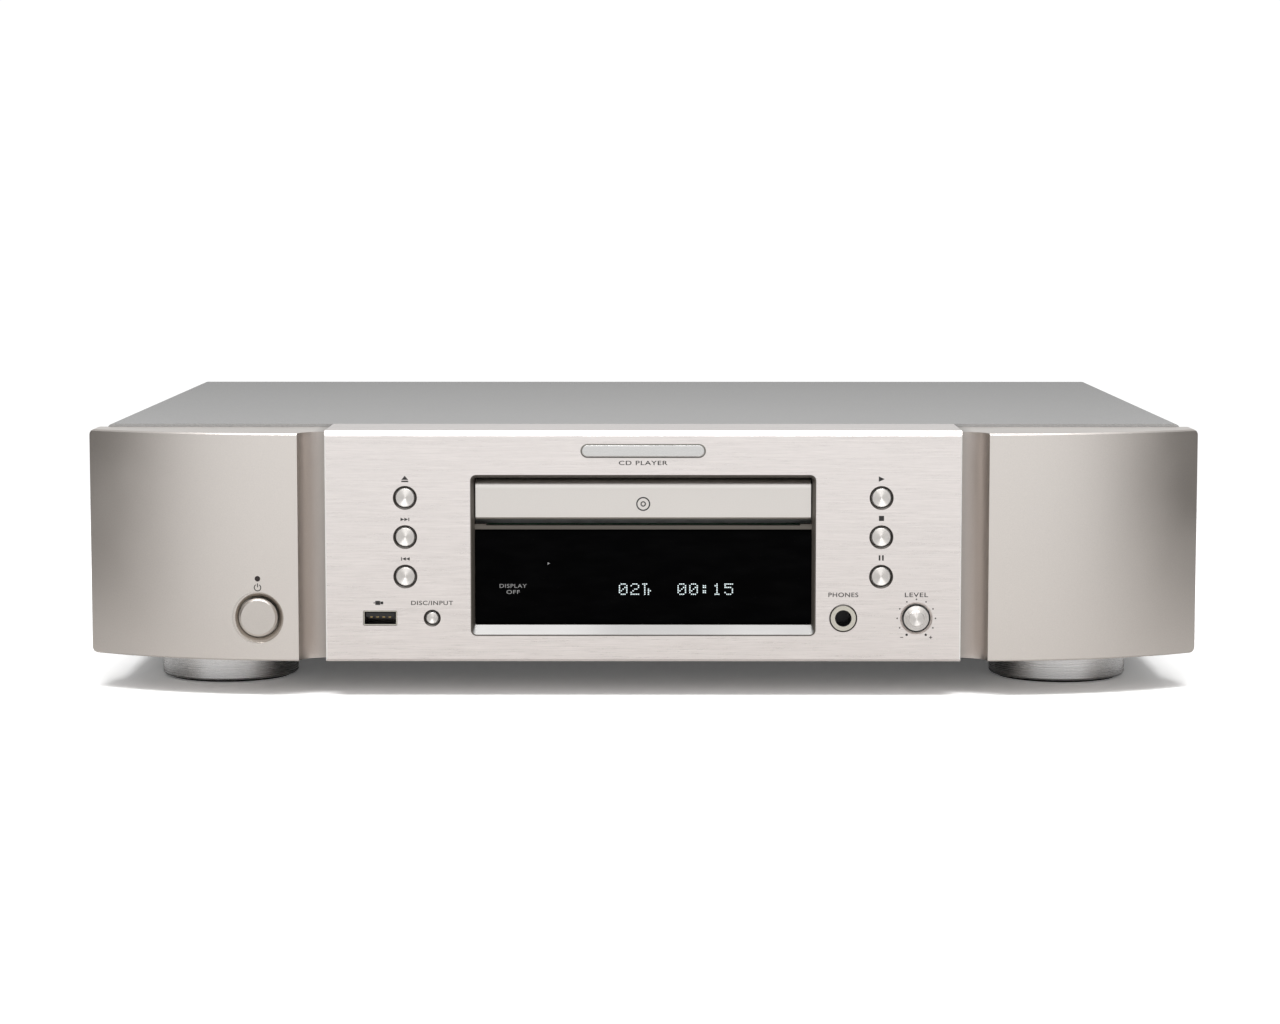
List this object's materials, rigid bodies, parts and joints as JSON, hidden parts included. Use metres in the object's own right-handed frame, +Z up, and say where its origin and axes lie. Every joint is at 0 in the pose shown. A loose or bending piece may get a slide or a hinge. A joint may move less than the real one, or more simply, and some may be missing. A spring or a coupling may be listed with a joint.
{
  "type": "cd player",
  "caption": "Full-size hi-fi disc player: silver front with a brushed centre panel, swept wings, tray and display window, round keys, level knob and wide round feet.",
  "frame": {"origin": "on the standing surface, under the middle of the outline", "axes": "+X to the right seen from the front, -Y towards the front, +Z up"},
  "size_m": [0.44, 0.341, 0.105],
  "materials": {
    "panel_aluminium": "brushed",
    "wing_silver": "satin",
    "cover_grey": "fine grain",
    "steel": "plated",
    "chrome": "brushed",
    "rubber": "matt",
    "black_plastic": "matt",
    "bezel_brown": "satin",
    "lens_black": "gloss",
    "tube_glass": "clear",
    "board_green": "resist",
    "part_black": "moulded",
    "button_metal": "spun",
    "gold": "gold plated",
    "moulding_white": "moulded",
    "moulding_grey": "moulded",
    "lamination": "varnished",
    "cable_grey": "satin",
    "lamp_smoke": "clear",
    "tray_plastic": "fine grain"
  },
  "bodies": {
    "housing": {"base_chassis": "steel", "rear_panel": "cover_grey", "top_cover": "cover_grey", "front_bracket": "steel", "centre_panel": "panel_aluminium", "left_wing": "wing_silver", "right_wing": "wing_silver", "window_bezel": "bezel_brown", "display_lens": "lens_black", "display_tube": "tube_glass", "front_board": "board_green", "tact_switches": "part_black", "power_ring": "button_metal", "standby_lamp": "lamp_smoke", "power_switch": "part_black", "usb_socket": "steel", "headphone_jack": "part_black", "level_control": "steel", "loader_frame": "moulding_grey", "clamper_bridge": "steel", "loading_motor": "steel", "drive_belt": "rubber", "damper_mounts": "rubber", "transformer": "lamination", "power_board": "board_green", "audio_board": "board_green", "board_components": "part_black", "line_out_jacks": "gold", "digital_jacks": "gold", "optical_socket": "black_plastic", "mains_inlet": "black_plastic", "feet": "chrome", "foot_pads": "rubber", "ribbon_cable": "cable_grey", "screws": "steel"},
    "tray": {"disc_tray": "tray_plastic", "tray_door": "wing_silver"},
    "drive_wheel": {"drive_gear": "moulding_white"},
    "pulley": {"pulley_gear": "moulding_white"},
    "motor_shaft": {"motor_pulley": "moulding_white"},
    "deck": {"traverse_frame": "moulding_grey", "guide_rods": "steel", "traverse_motors": "steel"},
    "cam": {"cam_slider": "moulding_white"},
    "disc_platter": {"turntable": "black_plastic"},
    "laser_sled": {"pickup": "black_plastic"},
    "sled_wheel": {"sled_gear": "moulding_white"},
    "sled_shaft": {"sled_pinion": "moulding_white"},
    "clamp": {"clamper": "black_plastic"},
    "power_key": {"power_button": "button_metal"},
    "eject_key": {"eject_button": "button_metal"},
    "next_key": {"next_button": "button_metal"},
    "previous_key": {"previous_button": "button_metal"},
    "play_key": {"play_button": "button_metal"},
    "stop_key": {"stop_button": "button_metal"},
    "pause_key": {"pause_button": "button_metal"},
    "input_key": {"input_button": "button_metal"},
    "level_dial": {"level_knob": "button_metal"},
    "remote_slider": {"remote_switch": "black_plastic"},
    "shutter": {"optical_shutter": "black_plastic"}
  },
  "joints": [
    {"name": "tray_slide", "type": "slide", "parent": "housing", "child": "tray", "axis": [0, -1, 0], "range_m": [0, 0.14]},
    {"name": "drive_gear_spin", "type": "hinge", "parent": "housing", "child": "drive_wheel", "pos_m": [-0.047, -0.11, 0.069], "axis": [0, 0, 1], "range_deg": [0, 892.3]},
    {"name": "pulley_gear_spin", "type": "hinge", "parent": "housing", "child": "pulley", "pos_m": [-0.052, -0.09271, 0.065], "axis": [0, 0, 1], "range_deg": [-2318.3, 0]},
    {"name": "motor_pulley_spin", "type": "hinge", "parent": "housing", "child": "motor_shaft", "pos_m": [-0.052, -0.062, 0.062], "axis": [0, 0, 1], "range_deg": [-6373.6, 0]},
    {"name": "traverse_lift", "type": "hinge", "parent": "housing", "child": "deck", "pos_m": [0, 0, 0.064], "axis": [-1, 0, 0], "range_deg": [0, 5.32]},
    {"name": "cam_shift", "type": "slide", "parent": "housing", "child": "cam", "axis": [1, 0, 0], "range_m": [0, 0.0201]},
    {"name": "turntable_spin", "type": "hinge", "parent": "deck", "child": "disc_platter", "pos_m": [0, -0.09797, 0.06994], "axis": [0, -0.0927, 0.9957], "continuous": true},
    {"name": "pickup_slide", "type": "slide", "parent": "deck", "child": "laser_sled", "axis": [0, 0.9957, 0.0927], "range_m": [0, 0.035]},
    {"name": "sled_gear_spin", "type": "hinge", "parent": "deck", "child": "sled_wheel", "pos_m": [-0.0255, -0.05658, 0.06225], "axis": [0, -0.0927, 0.9957], "range_deg": [0, 418.8]},
    {"name": "sled_pinion_spin", "type": "hinge", "parent": "deck", "child": "sled_shaft", "pos_m": [-0.0255, -0.06375, 0.06158], "axis": [0, -0.0927, 0.9957], "range_deg": [-836.6, 0]},
    {"name": "clamper_spin", "type": "hinge", "parent": "housing", "child": "clamp", "pos_m": [0, -0.097, 0.085], "axis": [0, 0, 1], "continuous": true},
    {"name": "power_press", "type": "slide", "parent": "housing", "child": "power_key", "axis": [0, 1, 0], "range_m": [0, 0.0025], "stiffness_N_per_m": 300, "springref_m": -0.00125},
    {"name": "eject_press", "type": "slide", "parent": "housing", "child": "eject_key", "axis": [0, 1, 0], "range_m": [0, 0.0008], "stiffness_N_per_m": 400, "springref_m": -0.0004},
    {"name": "next_press", "type": "slide", "parent": "housing", "child": "next_key", "axis": [0, 1, 0], "range_m": [0, 0.0008], "stiffness_N_per_m": 400, "springref_m": -0.0004},
    {"name": "previous_press", "type": "slide", "parent": "housing", "child": "previous_key", "axis": [0, 1, 0], "range_m": [0, 0.0008], "stiffness_N_per_m": 400, "springref_m": -0.0004},
    {"name": "play_press", "type": "slide", "parent": "housing", "child": "play_key", "axis": [0, 1, 0], "range_m": [0, 0.0008], "stiffness_N_per_m": 400, "springref_m": -0.0004},
    {"name": "stop_press", "type": "slide", "parent": "housing", "child": "stop_key", "axis": [0, 1, 0], "range_m": [0, 0.0008], "stiffness_N_per_m": 400, "springref_m": -0.0004},
    {"name": "pause_press", "type": "slide", "parent": "housing", "child": "pause_key", "axis": [0, 1, 0], "range_m": [0, 0.0008], "stiffness_N_per_m": 400, "springref_m": -0.0004},
    {"name": "input_press", "type": "slide", "parent": "housing", "child": "input_key", "axis": [0, 1, 0], "range_m": [0, 0.0008], "stiffness_N_per_m": 400, "springref_m": -0.0004},
    {"name": "level_turn", "type": "hinge", "parent": "housing", "child": "level_dial", "pos_m": [0.1069, -0.1685, 0.0315], "axis": [0, 1, 0], "range_deg": [-150, 150]},
    {"name": "remote_switch_slide", "type": "slide", "parent": "housing", "child": "remote_slider", "axis": [1, 0, 0], "range_m": [0, 0.003]},
    {"name": "shutter_flip", "type": "hinge", "parent": "housing", "child": "shutter", "pos_m": [0.142, 0.158, 0.0386], "axis": [-1, 0, 0], "range_deg": [0, 80], "stiffness_Nm_per_rad": 0.0004, "springref_deg": -17.19}
  ],
  "couplings": [
    {"joint": "drive_gear_spin", "follows": "tray_slide", "rad_per_m": 111.11},
    {"joint": "pulley_gear_spin", "follows": "tray_slide", "rad_per_m": -288.89},
    {"joint": "motor_pulley_spin", "follows": "tray_slide", "rad_per_m": -794.44},
    {"joint": "cam_shift", "follows": "traverse_lift", "m_per_rad": 0.2154},
    {"joint": "sled_gear_spin", "follows": "pickup_slide", "rad_per_m": 208.33},
    {"joint": "sled_pinion_spin", "follows": "pickup_slide", "rad_per_m": -416.67}
  ]
}
